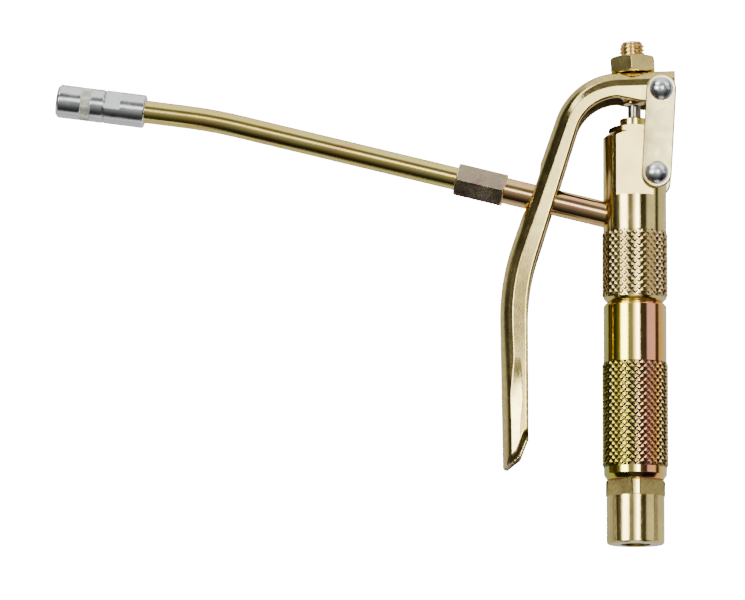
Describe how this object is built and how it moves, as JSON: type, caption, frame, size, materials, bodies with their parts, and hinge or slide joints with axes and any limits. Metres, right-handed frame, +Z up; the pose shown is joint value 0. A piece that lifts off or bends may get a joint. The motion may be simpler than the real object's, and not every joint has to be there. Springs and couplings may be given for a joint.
{
  "type": "grease control gun",
  "caption": "Hose-fed grease control gun: knurled body with a ball valve, a squeeze lever on links over a stem, and a bent outlet tube with a four-jaw hydraulic coupler.",
  "frame": {"origin": "centre of the hose inlet's mouth, at the foot of the gun body", "axes": "+Z up the gun body's axis to the adjusting screw; -X towards the outlet and its coupler; the rivets run along Y"},
  "size_m": [0.274, 0.0356, 0.2226],
  "materials": {
    "pale_plated_steel": "smooth pale champagne nickel-zinc plating, semi-gloss",
    "yellow_chromate": "yellow zinc chromate with faint pink and green iridescence, semi-gloss",
    "red_chromate": "pinkish brown zinc chromate, semi-gloss",
    "white_zinc": "bright white zinc plating",
    "grey_steel": "plain turned steel, lightly oiled",
    "spring_steel": "drawn wire",
    "copper": "annealed copper, satin",
    "nitrile_rubber": "matt moulded rubber",
    "ptfe": "waxy pressed PTFE"
  },
  "bodies": {
    "gun_body": {"inlet_fitting": "pale_plated_steel", "inlet_washer": "copper", "inlet_strainer": "grey_steel", "grip_sleeve": "yellow_chromate", "valve_head": "pale_plated_steel", "valve_seat": "grey_steel", "spring_retainer": "grey_steel", "valve_spring": "spring_steel", "packing_washer": "grey_steel", "gland_packing": "ptfe", "gland_nut": "yellow_chromate", "outlet_stub_tube": "yellow_chromate", "union_nut": "red_chromate", "union_ferrule": "grey_steel", "extension_tube": "yellow_chromate", "coupler_body": "white_zinc", "coupler_sleeve": "white_zinc", "coupler_spring": "spring_steel"},
    "links": {"link_front": "pale_plated_steel", "link_rear": "pale_plated_steel", "lower_rivet": "white_zinc"},
    "lever": {"lever": "pale_plated_steel", "adjusting_screw": "yellow_chromate", "lock_nut": "pale_plated_steel", "upper_rivet": "white_zinc"},
    "valve_stem": {"valve_stem": "grey_steel"},
    "valve_ball": {"valve_ball": "grey_steel"},
    "plunger": {"coupler_plunger": "grey_steel", "coupler_seal": "nitrile_rubber", "coupler_check_ball": "grey_steel"},
    "jaw_1": {"coupler_jaw_1": "grey_steel"},
    "jaw_2": {"coupler_jaw_2": "grey_steel"},
    "jaw_3": {"coupler_jaw_3": "grey_steel"},
    "jaw_4": {"coupler_jaw_4": "grey_steel"}
  },
  "joints": [
    {"name": "link_swing", "type": "hinge", "parent": "gun_body", "child": "links", "pos_m": [0.00955, 0, 0.162], "axis": [0, -1, 0], "range_deg": [0, 1.7]},
    {"name": "lever_pivot", "type": "hinge", "parent": "links", "child": "lever", "pos_m": [0.0117, 0, 0.1992], "axis": [0, -1, 0], "range_deg": [0, 10.4], "stiffness_Nm_per_rad": 2, "springref_deg": -14.32},
    {"name": "stem_slide", "type": "slide", "parent": "gun_body", "child": "valve_stem", "axis": [0, 0, -1], "range_m": [0, 0.0025]},
    {"name": "ball_slide", "type": "slide", "parent": "gun_body", "child": "valve_ball", "axis": [0, 0, -1], "range_m": [0, 0.0025], "deforming": ["valve_spring"]},
    {"name": "plunger_slide", "type": "slide", "parent": "gun_body", "child": "plunger", "axis": [0.9917, 0, -0.1288], "range_m": [0, 0.0018], "stiffness_N_per_m": 1500, "springref_m": -0.003, "deforming": ["coupler_spring"]},
    {"name": "jaw_1_slide", "type": "slide", "parent": "gun_body", "child": "jaw_1", "axis": [0.9743, 0.1862, -0.1265], "range_m": [0, 0.00185]},
    {"name": "jaw_2_slide", "type": "slide", "parent": "gun_body", "child": "jaw_2", "axis": [0.9504, 0, -0.3112], "range_m": [0, 0.00185]},
    {"name": "jaw_3_slide", "type": "slide", "parent": "gun_body", "child": "jaw_3", "axis": [0.9743, -0.1862, -0.1265], "range_m": [0, 0.00185]},
    {"name": "jaw_4_slide", "type": "slide", "parent": "gun_body", "child": "jaw_4", "axis": [0.9983, 0, 0.0581], "range_m": [0, 0.00185]}
  ],
  "couplings": [
    {"joint": "link_swing", "follows": "lever_pivot", "ratio": 0.155},
    {"joint": "stem_slide", "follows": "lever_pivot", "m_per_rad": 0.01374},
    {"joint": "ball_slide", "follows": "lever_pivot", "m_per_rad": 0.01374},
    {"joint": "jaw_1_slide", "follows": "plunger_slide", "ratio": 1.0178},
    {"joint": "jaw_2_slide", "follows": "plunger_slide", "ratio": 1.0178},
    {"joint": "jaw_3_slide", "follows": "plunger_slide", "ratio": 1.0178},
    {"joint": "jaw_4_slide", "follows": "plunger_slide", "ratio": 1.0178}
  ]
}
